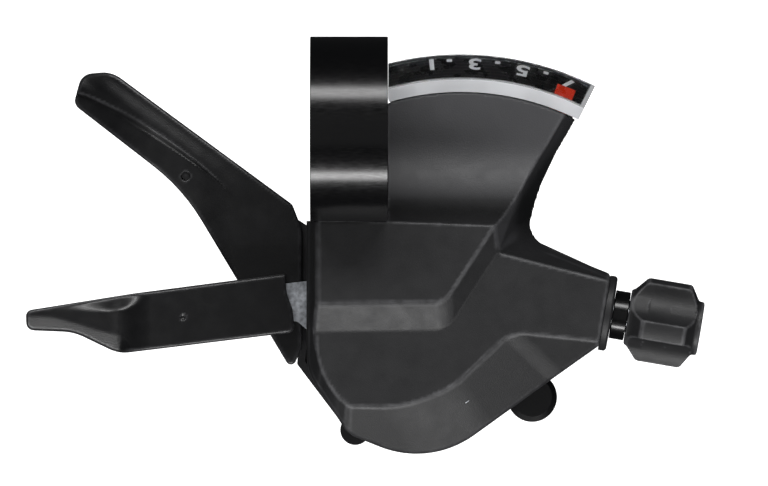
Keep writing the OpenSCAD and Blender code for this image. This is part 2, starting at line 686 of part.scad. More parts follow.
module adjuster_insert() color(zinc) along_adjuster(insert_s[0]) difference() {
    cylinder(r = insert_r, h = insert_s[1] - insert_s[0]);
    translate([0, 0, -1]) cylinder(r = bolt_r + play, h = 8);
}

module adjuster_detent_ring() color(gloss_black) along_adjuster(-0.75) difference() {
    cylinder(r = neck_r, h = 2.25);
    translate([0, 0, -1]) cylinder(r = bolt_r + play, h = 4);
}

module adjuster_spring() color(steel) along_adjuster(1.75) wire(coil(3.0, 3.5, 4, 0, 0.2, 12), 0.22, 6);

module adjuster_bolt() color(zinc) along_adjuster(-9.5) difference() {
    cylinder(r = bolt_r, h = 16.5);
    translate([0, 0, -1]) cylinder(r = cable_r, h = 20);
}

module adjuster_knob() color(black_plastic) along_adjuster() difference() {
    rotate_extrude() polygon([[bolt_r, 5.6], [bolt_r, 7.0], [socket_r, 7.0], [socket_r, knob_s[1]],
        [4.1, knob_s[1]], [4.1, 11.85], [4.9, 11.45], [knob_r, 10.55], [knob_r, 3.6], [5.2, 2.6],
        [neck_r + 0.2, knob_s[0]], [3.45, knob_s[0]], [3.45, 5.6]]);
    for (a = [60 : 90 : 330]) rotate([0, 0, a]) translate([9.25, 0, 1]) cylinder(r = 5.05, h = 10.25);
}

top_cover();
lower_cover();
cover_screws();
boss_cap();
base_plate();
top_plate();
frame_posts();
main_axle();
axle_nut();
axle_bushes();
clamp_band();
clamp_bolt();
clamp_nut();
indicator_base();
dial_plate();
indicator_window();
indicator_needle();
needle_pin();
cable_reel();
drive_pinion();
ratchet_wheel();
reel_spring();
thumb_lever_plate();
thumb_lever_cover();
thumb_lever_spring();
winding_pawl();
winding_pawl_pin();
winding_pawl_spring();
trigger_plate();
trigger_cover();
trigger_spring();
positioning_pawl();
positioning_pawl_pin();
positioning_pawl_spring();
nozzle_collar();
adjuster_insert();
adjuster_detent_ring();
adjuster_spring();
adjuster_bolt();
adjuster_knob();
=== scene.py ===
"""Looks of the thumb shifter: moulded covers and levers as smooth surfaces, finishes, light and camera."""

import json
import math

import bpy
import numpy as np
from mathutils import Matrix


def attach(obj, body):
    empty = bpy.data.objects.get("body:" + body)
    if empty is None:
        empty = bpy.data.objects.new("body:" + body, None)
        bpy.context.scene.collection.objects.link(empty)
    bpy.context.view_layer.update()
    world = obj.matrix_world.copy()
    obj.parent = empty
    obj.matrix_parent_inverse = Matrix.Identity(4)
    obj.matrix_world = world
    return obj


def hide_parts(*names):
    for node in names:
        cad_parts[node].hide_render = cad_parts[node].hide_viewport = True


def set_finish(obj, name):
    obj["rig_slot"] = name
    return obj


MM, MICRON = 0.001, 0.000001
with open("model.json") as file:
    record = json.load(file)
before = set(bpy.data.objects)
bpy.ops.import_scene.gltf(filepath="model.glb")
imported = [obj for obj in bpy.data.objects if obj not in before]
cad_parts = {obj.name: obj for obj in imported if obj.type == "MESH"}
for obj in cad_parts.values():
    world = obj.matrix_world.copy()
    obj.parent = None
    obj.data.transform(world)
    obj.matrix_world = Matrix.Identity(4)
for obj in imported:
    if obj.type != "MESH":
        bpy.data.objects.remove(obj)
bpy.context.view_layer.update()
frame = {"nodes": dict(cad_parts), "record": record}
record = frame["record"]
SLOT_OF = {row["node"]: row["material_slot"] for row in record["subparts"]}

# ---------- dimensions, in millimetres, in the CAD frame ----------

# The top cover: its wall, its levels, and the rim, which is higher above the levers
SKIN = 1.4
UPPER_Z, SHOULDER_Z, FAN_Z = -3.0, -5.5, -12.8
SKIRT_Z, ROOF_Z = -18.0, -17.1
LEVER_GAP_X, LEVER_GAP_Y = 0.5, -14.6
# The hollow for the handlebar, whose near edge runs slightly askew
CHANNEL_R, CHANNEL_Y, CHANNEL_Z = 12.3, -1.5, -0.5
CHANNEL_SKEW, CHANNEL_SKEW_X = 0.0387, -6.4
# The corner that is cut out beside the clamp band
BAND_X, BAND_Y = 5.82, -13.93
# The indicator: needle pivot, radii of the flat fan, dial and window, and the slot below the fan
PIVOT = (17.051, -34.008)
FAN_R, RIM_R, WINDOW_R, FOOT_Z = 39.6, 41.7, 45.5, -17.6
SLOT_R, SLOT_MIDDLE, SLOT_HALF, SLOT_WALL = 37.2, 84.7, 19.5, 0.45
DIAL_DROP = 2.35
# The cover screws, their bosses and their blind holes
SCREWS = ((24.2, -30.0), (22.6, -39.0))
BOSS_R, SCREW_HOLE_R, SCREW_HOLE_TOP = 1.9, 1.0, -11
# The adjuster: centre of the nozzle's face, direction, and radii
FACE = (40.8, -28.23, -11.3)
TURN = math.radians(-9.6)
KNOB_R, NECK_R, SOCKET_R, BOLT_R = 6.4, 3.7, 3.0, 2.4
INSERT_R, COLLAR_R = 3.4, 2.9
NOZZLE_R, NOZZLE_BACK, NOZZLE_FRONT = 5.2, -9, -1.25
# The knob: places along the axis from the nozzle's face, and its finger scallops
KNOB_START, KNOB_END, KNOB_END_R = 1.6, 12.85, 4.1
SCALLOP_AT, SCALLOP_R = 9.25, 5.05
SOCKET_START, DETENT_R, DETENT_END = 7, 3.45, 5.6
# The levers: level faces, and the slots that hold their steel plates (middle, half thickness)
THUMB_TOP, THUMB_LOW, THUMB_PAD_END = -21.3, -24.6, -33.3
THUMB_SLOT = (-23.4, 0.8)
TRIGGER_TOP, TRIGGER_LOW = -17.5, -20.9
TRIGGER_SLOT = (-19.8, 0.6)
LEVER_TOP_EDGE, LEVER_LOW_EDGE = 0.5, 0.4
# Their small marks: the thumb lever's blind hole and the trigger's dimple
THUMB_HOLE, THUMB_HOLE_R, THUMB_HOLE_FLOOR = (-25.0, -7.1), 0.68, -22.9
DIMPLE, DIMPLE_R = (-25.3, -28.6, -17.3), 0.5
# The finger rest's deepest line, and the round bite out of the trigger's root
REST_X = -35.0
BITE, BITE_R = (-2.0, -23.2), 7.7

# ---------- view and light, in metres and degrees ----------

VIEW_WIDTH = 0.1164                      # across the picture, at the handlebar's height
VIEW_CENTRE, CAMERA_Z, SENSOR = (0.0053, -0.0173), 3.0, 36
FLOOR_Z, FLOOR_HALF, FLOOR_GLOW = -0.13, 4.0, 0.78
LIT_POINT = (0.005, -0.017, -0.01)
# name, tilt from overhead, compass direction, distance, width, height, radiance
LIGHTS = (("overhead", 0, 0, 1.2, 0.9, 0.9, 0.15),
          ("far_strip", 46, 90, 1.0, 0.24, 1.2, 9.5),
          ("side_strip", 46, 0, 1.0, 0.2, 0.8, 1.4),
          ("near_strip", 60, -90, 1.0, 0.17, 1.2, 15))


# ---------- shapes as signed distance, negative inside ----------

ARC_STEP = 0.07                          # radians between the points of a rounded corner


def both(a, b, r=0.0):
    """The overlap of two solids, its outer edge rounded by r."""
    if np.ndim(r) == 0 and r <= 0:
        return np.maximum(a, b)
    return np.minimum(-r, np.maximum(a, b)) + np.hypot(np.maximum(r + a, 0), np.maximum(r + b, 0))


def join(a, b, r=0.0):
    """Two solids together, the inner corner between them filled by r."""
    return -both(-a, -b, r)


def cut(a, b, r=0.0):
    """Solid a without b."""
    return both(a, -b, r)


def slope(p, q, z0, tilt):
    """A face through the plan line p to q at height z0, solid on its left, tilt degrees from level."""
    length = math.hypot(q[0] - p[0], q[1] - p[1])
    nx, ny = (q[1] - p[1]) / length, -(q[0] - p[0]) / length
    s, c = math.sin(math.radians(tilt)), math.cos(math.radians(tilt))
    return lambda x, y, z: s * (nx * (x - p[0]) + ny * (y - p[1])) + c * (z - z0)


def rounded(corners):
    """Outline points from corners (x, y, radius)."""
    points = []
    for i, (x, y, r) in enumerate(corners):
        q = np.array((x, y))
        p, s = (np.array(corners[j % len(corners)][:2]) for j in (i - 1, i + 1))
        if r < 0.01:
            points.append(q)
            continue
        u, w = (p - q) / np.linalg.norm(p - q), (s - q) / np.linalg.norm(s - q)
        half = math.acos(max(-1, min(1, float(u @ w)))) / 2
        centre = q + (u + w) / np.linalg.norm(u + w) * r / math.sin(half)
        first = q + u * r / math.tan(half) - centre
        turn = math.copysign(math.pi - 2 * half, -u[0] * w[1] + u[1] * w[0])
        steps = max(3, math.ceil(abs(turn) / ARC_STEP))
        for k in range(steps + 1):
            c, n = math.cos(turn * k / steps), math.sin(turn * k / steps)
            points.append(centre + (c * first[0] - n * first[1], n * first[0] + c * first[1]))
    return points


def outline(corners):
    """Signed distance in plan to an outline with rounded corners."""
    points = rounded(corners)

    def field(x, y):
        nearest, inside = None, None
        for (ax, ay), (bx, by) in zip(points, points[1:] + points[:1]):
            ex, ey = bx - ax, by - ay
            wx, wy = x - ax, y - ay
            t = np.clip((wx * ex + wy * ey) / (ex * ex + ey * ey), 0, 1)
            d = (wx - t * ex) ** 2 + (wy - t * ey) ** 2
            nearest = d if nearest is None else np.minimum(nearest, d)
            crosses = ((ay > y) != (by > y)) & (wx < ex * wy / (ey if ey else 1e-9))
            inside = crosses if inside is None else inside ^ crosses
        return np.where(inside, -1, 1) * np.sqrt(nearest)

    return field


def bar(x, y, centre, r):
    """An upright cylinder."""
    return np.hypot(x - centre[0], y - centre[1]) - r


def ramp(t, low, high):
    """0 below low, 1 above high, and smooth between them."""
    t = np.clip((t - low) / (high - low), 0, 1)
    return t * t * (3 - 2 * t)


def soft(t, r):
    """t where it is positive and 0 where it isn't, with a rounded bend."""
    return 0.5 * (t + np.hypot(t, r))


def adjuster_axes(x, y, z):
    """Place along the adjuster's axis, and the two directions across it (up, and towards the rider)."""
    dx, dy, dz = x - FACE[0], y - FACE[1], z - FACE[2]
    c, s = math.cos(TURN), math.sin(TURN)
    return dx * c + dy * s, dz, dy * c - dx * s


# ---------- surfaces from those shapes ----------

PULLS = 4                                # times the points are pulled on to the surface
NEAR, SMOOTH, EDGE_WIDTH = 0.02, 0.05, 0.22      # reach of the differences for place, shading and edges


def net(field, low, high, step):
    """Points and four-sided faces round the place where the field is zero."""
    axes = [np.arange(a - 1.5 * step, b + 2.5 * step, step) for a, b in zip(low, high)]
    x, y, z = np.meshgrid(*axes, indexing="ij", sparse=True)
    value = np.broadcast_to(field(x, y, z), [len(a) for a in axes])
    inside = value < 0
    offsets = [(i, j, k) for i in (0, 1) for j in (0, 1) for k in (0, 1)]
    size = [n - 1 for n in inside.shape]
    count = sum(inside[i:i + size[0], j:j + size[1], k:k + size[2]].astype(np.int8) for i, j, k in offsets)
    cells = np.argwhere((count > 0) & (count < 8))
    corner = {o: value[tuple((cells + o).T)] for o in offsets}
    total, crossings = np.zeros((len(cells), 3)), np.zeros(len(cells))
    for o in offsets:
        for axis in range(3):
            if o[axis]:
                continue
            far = tuple(o[a] + (a == axis) for a in range(3))
            a, b = corner[o], corner[far]
            hit = (a < 0) != (b < 0)
            t = np.where(hit, a / np.where(hit, a - b, 1), 0)
            point = np.array(o, float) + np.outer(t, [axis == 0, axis == 1, axis == 2])
            total += point * hit[:, None]
            crossings += hit
    origin = np.array([a[0] for a in axes])
    points = origin + (cells + total / crossings[:, None]) * step
    index = np.full(size, -1)
    index[tuple(cells.T)] = np.arange(len(cells))
    faces = []
    for axis in range(3):
        u, v = (axis + 1) % 3, (axis + 2) % 3
        here = [slice(1, -1)] * 3
        here[axis] = slice(0, -1)
        there = list(here)
        there[axis] = slice(1, None)
        flips = inside[tuple(here)] != inside[tuple(there)]
        edges = np.argwhere(flips) + [axis != 0, axis != 1, axis != 2]
        edges = edges[np.all(edges < np.array(size), axis=1)]
        quad = []
        for du, dv in ((1, 1), (0, 1), (0, 0), (1, 0)):
            cell = edges.copy()
            cell[:, u] -= du
            cell[:, v] -= dv
            quad.append(index[tuple(cell.T)])
        quad = np.stack(quad, axis=1)
        back = ~inside[tuple(edges.T)]
        quad[back] = quad[back][:, ::-1]
        faces.append(quad)
    faces = np.concatenate(faces)
    return points, faces[np.all(faces >= 0, axis=1)]


def gradient(field, p, h):
    """Central differences at points p, and the Laplacian, which is large at outer edges."""
    here = field(*p.T)
    g, bend = np.zeros_like(p), -6 * here
    for axis in range(3):
        d = np.zeros(3)
        d[axis] = h
        ahead, behind = field(*(p + d).T), field(*(p - d).T)
        g[:, axis] = (ahead - behind) / (2 * h)
        bend = bend + ahead + behind
    return here, g, bend / (h * h)


def light_and_shade_of(points, normals):
    """Painted light and shade: paler (above 0) up the hollow on faces that look up, partly a lighter finish
    on the fan and partly a painted sheen, and a painted highlight on the throat beside it; painted shade,
    darker (below 0), along its near edge.
    """
    px, py, pz = points.T
    faces_up = ramp(normals[:, 2], 0.2, 0.6)
    faces_right = ramp(normals[:, 0], 0.7, 0.85)
    # Paler up the hollow where it faces up: partly a lighter finish on the fan, partly a painted sheen
    lighter_up_the_hollow = ramp(py, -12.8, -7.5)
    # Painted shade along the hollow's near edge
    shade_near_edge = ramp(py, -14.6, -14.2) * (1 - ramp(py, -12.6, -9.5))
    # Painted highlight on the throat's faces that look to the right
    highlight_on_throat = ramp(pz, -16, -9) * ramp(py, -19.5, -18) * ramp(-px, -27, -25)
    return (lighter_up_the_hollow - 0.9 * shade_near_edge) * faces_up + 0.9 * highlight_on_throat * faces_right


def store(mesh, name, values):
    """Keeps one number for each vertex, which the finishes read by its name."""
    attribute = mesh.attributes.new(name, "FLOAT", "POINT")
    attribute.data.foreach_set("value", values.astype(np.float32))


def piece(name, field, low, high, step, body, slot_name, *nodes):
    """A smooth mesh of the field, which stands for CAD nodes and rides on their body."""
    points, faces = net(field, low, high, step)
    for _ in range(PULLS):
        value, g, _bend = gradient(field, points, NEAR)
        move = -value / np.maximum((g * g).sum(1), 0.25)
        points = points + np.clip(move, -0.5 * step, 0.5 * step)[:, None] * g
    _value, normals, _bend = gradient(field, points, SMOOTH)
    _value, _g, bend = gradient(field, points, EDGE_WIDTH)
    normals /= np.maximum(np.linalg.norm(normals, axis=1), 1e-6)[:, None]
    mesh = bpy.data.meshes.new(name)
    mesh.from_pydata(points * MM, [], faces)
    mesh.polygons.foreach_set("use_smooth", np.ones(len(faces), bool))
    # Outer edges, which the finishes paint paler as a painted highlight
    store(mesh, "edge", np.clip(bend * 0.5 - 0.15, 0, 1))
    # Painted light and shade for the top cover, which the moulded finish reads
    store(mesh, "painted_light", light_and_shade_of(points, normals))
    mesh.update()
    mesh.normals_split_custom_set_from_vertices(normals)
    thing = bpy.data.objects.new(name, mesh)
    bpy.context.scene.collection.objects.link(thing)
    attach(thing, body)
    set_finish(thing, slot_name)
    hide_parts(*nodes)
    return thing


# ---------- top cover ----------

POD = outline([(-6.5, 30, 0), (-6.5, -36.75, 8), (-0.1, -46.4, 4), (12.3, -51.4, 15),
               (37.93, -32.95, 0.8), (48.6, 30, 0)])
LEFT = slope((-5.6, -14.9), (-5.6, -32.5), SHOULDER_Z, 78)
LEFT_LOW = slope((-5.5, -33.0), (-3.3, -39.2), SHOULDER_Z, 62)
LEFT_FRONT = slope((-3.2, -39.3), (-0.8, -41.5), SHOULDER_Z, 47)
FRONT = slope((0.0, -42.2), (12.3, -42.45), SHOULDER_Z, 41)
RIGHT_LOW = slope((13.8, -41.1), (24.4, -31.2), SHOULDER_Z, 36)
RIDGE = slope((24.4, -30.9), (38.8, -32.4), SHOULDER_Z, 50)
UPPER_FRONT = slope((-6.0, -26.7), (14.8, -26.4), UPPER_Z, 31)
UPPER_RIGHT = slope((14.9, -25.8), (22.05, -14.8), UPPER_Z, 44)
NOZZLE_UP = slope((39.5, -23.0), (22.9, -18.8), SHOULDER_Z, 77)
NOZZLE_WALL = slope((40.3, -22.2), (24.4, -15.8), SHOULDER_Z, 90)
FAN_WALL = slope((22.9, -14.85), (35.85, 7.55), FAN_Z, 70)


def throat(x, y, z):
    """The near-upright face that comes down from the channel's edge to the nozzle's corner."""
    return 0.951 * (x - 22.05) - 0.016 * (y + 14.8) + 0.309 * (z - UPPER_Z)


def channel(x, y, z):
    """Everything below the hollow for the handlebar and the flat fan beyond it."""
    y = y + CHANNEL_SKEW * (x - CHANNEL_SKEW_X) * np.clip((z - FAN_Z) / (UPPER_Z - FAN_Z), 0, 1)
    return np.where(y < CHANNEL_Y, CHANNEL_R - np.hypot(y - CHANNEL_Y, z - CHANNEL_Z), z - FAN_Z)


# Radii between neighbouring faces of the top cover: corners seen in plan, then edges seen from the side
RIDGE_CORNER, FRONT_CORNER, UPPER_CORNER, NOZZLE_CORNER, FAN_CORNER = 1.0, 3.2, 0.9, 0.8, 4
LEFT_CORNER, LEFT_FRONT_CORNER = 1.4, 1.1
SHOULDER_EDGE, UPPER_EDGE, UPPER_FOOT, CHANNEL_EDGE = 0.28, 0.25, 0.2, 0.22
RIGHT_EDGE, PLAN_EDGE, FAN_EDGE, RIM_EDGE = 0.35, 0.5, 0.15, 0.15


def outer_form(x, y, z):
    """The top cover's outside, without its openings."""
    walls_low = join(RIGHT_LOW(x, y, z), RIDGE(x, y, z), RIDGE_CORNER)
    left = both(LEFT(x, y, z), LEFT_LOW(x, y, z), LEFT_CORNER)
    left = both(left, LEFT_FRONT(x, y, z), LEFT_FRONT_CORNER)
    sides = both(FRONT(x, y, z), walls_low, FRONT_CORNER)
    low = both(z - SHOULDER_Z, sides, SHOULDER_EDGE)
    upper_sides = both(UPPER_FRONT(x, y, z), UPPER_RIGHT(x, y, z), UPPER_CORNER)
    tops = join(low, both(z - UPPER_Z, upper_sides, UPPER_EDGE), UPPER_FOOT)
    # The left edge is softer beside the upper level than beside the shoulder
    tops = both(tops, left, 0.7 - 0.4 * ramp(-y, 31.5, 34.5))
    body = both(tops, channel(x, y, z), CHANNEL_EDGE)
    # The inner corner beside the nozzle opens out downwards
    depth = np.clip((SHOULDER_Z - z) / 9, 0, 1)
    nozzle = both(NOZZLE_UP(x, y, z), NOZZLE_WALL(x, y, z), NOZZLE_CORNER)
    right = join(nozzle, throat(x, y, z), RIGHT_EDGE + 4.5 * depth)
    right = join(right, FAN_WALL(x, y, z), FAN_CORNER)
    body = both(body, right, RIGHT_EDGE)
    body = both(body, POD(x, y), PLAN_EDGE)
    return both(body, bar(x, y, PIVOT, FAN_R), FAN_EDGE)


def top_cover(x, y, z):
    """The moulded shell with its bosses and openings."""
    form = outer_form(x, y, z)
    form = cut(form, both(x - BAND_X, BAND_Y - y), 0.04)
    shell = both(form, -(form + SKIN), 0.1)
    along, up, across = adjuster_axes(x, y, z)
    radius = np.hypot(up, across)
    nozzle = both(radius - NOZZLE_R, np.maximum(NOZZLE_BACK - along, along - NOZZLE_FRONT))
    shell = join(shell, both(nozzle, form + 0.2))
    for place in SCREWS:
        shell = join(shell, both(bar(x, y, place, BOSS_R), form + SKIN - 0.2))
        hole = np.maximum(bar(x, y, place, SCREW_HOLE_R), z - SCREW_HOLE_TOP)
        shell = cut(shell, both(hole, form + 0.5))
    shell = cut(shell, np.maximum(radius - INSERT_R, np.maximum(-10 - along, along + 2)))
    shell = cut(shell, np.maximum(radius - COLLAR_R, -4 - along))
    reach = np.hypot(x - PIVOT[0], y - PIVOT[1])
    turn = np.degrees(np.arctan2(y - PIVOT[1], x - PIVOT[0]))
    slot = np.maximum(np.abs(turn - SLOT_MIDDLE) - SLOT_HALF, np.maximum(SLOT_R - reach, z - FAN_Z + SKIN))
    shell = cut(shell, np.maximum(slot, FAN_WALL(x, y, z) + SLOT_WALL))
    rim = np.where((x < LEVER_GAP_X) & (y < LEVER_GAP_Y), ROOF_Z, SKIRT_Z)
    return both(shell, rim - z, RIM_EDGE)


# ---------- levers and knob ----------

THUMB = outline([(-36.3, 8.9, 4.5), (-40.9, 8.5, 2.2), (-42.2, 3.9, 1.5), (-25.5, -9.0, 30),
                 (-8.8, -36.8, 0.8), (-7.2, -33.2, 0.8), (-7.2, -15.2, 1.5), (-8.7, -11.4, 1.4)])
TRIGGER = outline([(-9.2, -21.9, 0.6), (-33.0, -25.0, 0), (-49.3, -27.6, 1.0), (-49.2, -30.6, 1.2),
                   (-42, -30.9, 8), (-35.2, -34.2, 5), (-8.3, -30.9, 1.0)])
THUMB_PLATE = outline([(-28, -0.5, 1.6), (-30.5, -3.4, 1.6), (-22.6, -9.6, 12), (-12, -27.5, 1),
                       (-11, -31, 1), (-4, -33, 2), (2, -40, 3), (12, -35, 3), (11, -22, 3), (1, -19.5, 5)])
TRIGGER_PLATE = outline([(-30, -25.8, 1), (-34, -29, 1.5), (-30, -31.8, 1.5), (-8, -29.2, 1), (0, -36, 3),
                         (6, -38.5, 3), (10, -26.5, 3), (-2, -22.6, 6)])


def thumb_lever(x, y, z):
    """A blade with a raised far half that steps down into a groove, and a pad at the tip."""
    edge = THUMB(x, y)
    far = 0.5947 * (x + 34.1) + 0.8039 * (y - 7.4)          # distance beyond the straight far edge
    droop = 4.6 * ramp(-x, 30, 46)
    # The step is between two lines on the top, ridge and foot, and fades out towards the pod
    ridge = -3.15 - 0.0125 * (x + 27) ** 2
    foot = np.minimum(-3.95 - 0.093 * np.maximum(-x - 23, 0), ridge - 0.25)
    fade = ramp(-x, 17.5, 24)
    step = 0.85 * fade * (1 - ramp(far, foot, ridge))
    crown = 0.4 * ramp(far, -3.0, -0.6) * ramp(-x, 14, 26)
    nose = 0.8 * ramp(-x, 36.5, 42) * ramp(far, -5, -2)
    pad = 7.6 * ramp(-x, 29, 36) * ramp(far, -7.5, -4.5)
    top = THUMB_TOP - droop - step - crown - nose
    low = THUMB_LOW - droop * 0.6 - pad
    blade = both(both(z - top, edge, LEVER_TOP_EDGE), low - z, LEVER_LOW_EDGE)
    blade = both(blade, THUMB_PAD_END - z, 0.8)
    blade = cut(blade, both(THUMB_PLATE(x, y), np.abs(z - THUMB_SLOT[0]) - THUMB_SLOT[1]))
    hole = np.maximum(bar(x, y, THUMB_HOLE, THUMB_HOLE_R), THUMB_HOLE_FLOOR - z)
    return cut(blade, hole, 0.08)


def trigger(x, y, z):
    """A flat blade that dips before its finger rest, which rises towards the tip beside a raised far rim."""
    edge = TRIGGER(x, y)
    dip = 1.75 * ramp(-x, 30.0, 35.4)
    rise = 1.6 * (1 - np.exp(-soft(REST_X - x, 0.3) / 3.3)) + 2.1 * ramp(-x, 37, 50)
    rest = TRIGGER_TOP - dip + rise
    # The far rim climbs from the crease to the height flat
    crease = -27.9 + 0.5 * ramp(x, -37, -33) + 2.7 * ramp(x, -34.5, -28.0)
    flat = TRIGGER_TOP + 1.0 * ramp(-x, 30, 37) + 1.3 * ramp(-x, 38, 51)
    rim = np.maximum(flat - rest, 0) * ramp(y - crease, -0.2, 2.8)
    # The near side falls away beyond the lip, and the root falls slightly towards the pod
    lip = -28.35 - 2.7 * ramp(x, -47, -34.5) - 2.4 * ramp(x, -35.6, -32.0)
    front = 0.42 * soft(lip - y, 0.2) * ramp(-x, 32.5, 36)
    root = 0.09 * soft(x + 16.7, 0.6)
    top = rest + rim - front - root
    low = TRIGGER_LOW + 3.6 * ramp(-x, 35, 51)
    blade = both(both(z - top, edge, LEVER_TOP_EDGE), low - z, LEVER_LOW_EDGE)
    blade = cut(blade, bar(x, y, BITE, BITE_R), 0.3)
    blade = cut(blade, both(TRIGGER_PLATE(x, y), np.abs(z - TRIGGER_SLOT[0]) - TRIGGER_SLOT[1]))
    dimple = np.sqrt((x - DIMPLE[0]) ** 2 + (y - DIMPLE[1]) ** 2 + (z - DIMPLE[2]) ** 2) - DIMPLE_R
    return cut(blade, dimple, 0.1)


def knob(x, y, z):
    """A stepped barrel with four scallops for the fingers."""
    s, up, across = adjuster_axes(x, y, z)
    r = np.hypot(up, across)
    shoulder = ((s - KNOB_START) * -2.55 + (r - 3.8) * 2.2) / 3.37
    chamfer = ((s - 10.55) * 1.45 + (r - KNOB_R) * 0.9) / 1.707
    barrel = both(both(r - KNOB_R, shoulder, 0.3), chamfer, 0.3)
    for k in range(4):
        a = math.radians(30 + 90 * k)
        scallop = np.hypot(up - SCALLOP_AT * math.cos(a), across - SCALLOP_AT * math.sin(a)) - SCALLOP_R
        barrel = cut(barrel, both(scallop, np.maximum(1.0 - s, s - 11.75)), 0.16)
    barrel = join(barrel, both(both(r - KNOB_END_R, s - KNOB_END, 0.35), 8 - s), 0.25)
    barrel = join(barrel, both(both(r - NECK_R - 0.2, s - 4), KNOB_START - s), 0.8)
    barrel = both(barrel, KNOB_START - s, 0.1)
    barrel = cut(barrel, np.maximum(r - SOCKET_R, SOCKET_START - s), 0.15)
    barrel = cut(barrel, r - BOLT_R)
    return cut(barrel, np.maximum(r - DETENT_R, s - DETENT_END), 0.1)


# ---------- numbers on the dial ----------

DIGITS = (("1", 95.8, 43.95), ("3", 87.3, 43.85), ("5", 77.7, 43.8), ("7", 68.3, 43.8))
DOT_ANGLES, DOT_R = (92.3, 82.8, 73.1), 44.3
DIAL_FALL = (FAN_Z - FOOT_Z) / (WINDOW_R - RIM_R)
STRETCH_X, STRETCH_Y, LIFT = 1.35, 1.1, 0.06
DIGIT_SIZE, BOLDER, RAISED, DOT_HALF = 3.3, 0.09, 0.03, 0.3


def dial_height(r):
    """Height of the dial's cone at a radius."""
    return FAN_Z - DIAL_DROP - DIAL_FALL * (r - RIM_R)


def wrap_on_dial(name, mesh, angle, radius):
    """Lays a flat drawing on the cone, read from the rider's side, and gives it the dial's body."""
    fall = math.hypot(1, DIAL_FALL)
    for v in mesh.vertices:
        r = radius - v.co.y / fall * STRETCH_Y
        a = math.radians(angle) + v.co.x * STRETCH_X / radius
        v.co = ((PIVOT[0] + r * math.cos(a)) * MM, (PIVOT[1] + r * math.sin(a)) * MM,
                (dial_height(r) + LIFT + v.co.z) * MM)
    thing = bpy.data.objects.new(name, mesh)
    bpy.context.scene.collection.objects.link(thing)
    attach(thing, "pod")
    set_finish(thing, "dial_black")
    return thing


def digit(text, angle, radius):
    """One raised number, drawn with the built-in face and made a mesh."""
    curve = bpy.data.curves.new("digit_" + text, "FONT")
    curve.body, curve.size, curve.extrude, curve.offset = text, DIGIT_SIZE, RAISED, BOLDER
    curve.align_x, curve.align_y = "CENTER", "CENTER"
    holder = bpy.data.objects.new("holder", curve)
    bpy.context.scene.collection.objects.link(holder)
    bpy.context.view_layer.update()
    mesh = bpy.data.meshes.new_from_object(holder.evaluated_get(bpy.context.evaluated_depsgraph_get()))
    bpy.data.objects.remove(holder)
    bpy.data.curves.remove(curve)
    return wrap_on_dial("dial_number_" + text, mesh, angle, radius)


def dot(number, angle, radius):
    """A small raised lozenge between two numbers."""
    w, v = 0.8 * DOT_HALF, 0.6 * DOT_HALF
    corners = [(-DOT_HALF, -v), (-w, -DOT_HALF), (w, -DOT_HALF), (DOT_HALF, -v),
               (DOT_HALF, v), (w, DOT_HALF), (-w, DOT_HALF), (-DOT_HALF, v)]
    count = len(corners)
    points = [(x, y, z) for z in (-RAISED, RAISED) for x, y in corners]
    faces = [tuple(range(count))[::-1], tuple(range(count, 2 * count))]
    faces += [(i, (i + 1) % count, count + (i + 1) % count, count + i) for i in range(count)]
    mesh = bpy.data.meshes.new("dot")
    mesh.from_pydata(points, [], faces)
    return wrap_on_dial(f"dial_dot_{number}", mesh, angle, radius)


# ---------- finishes ----------

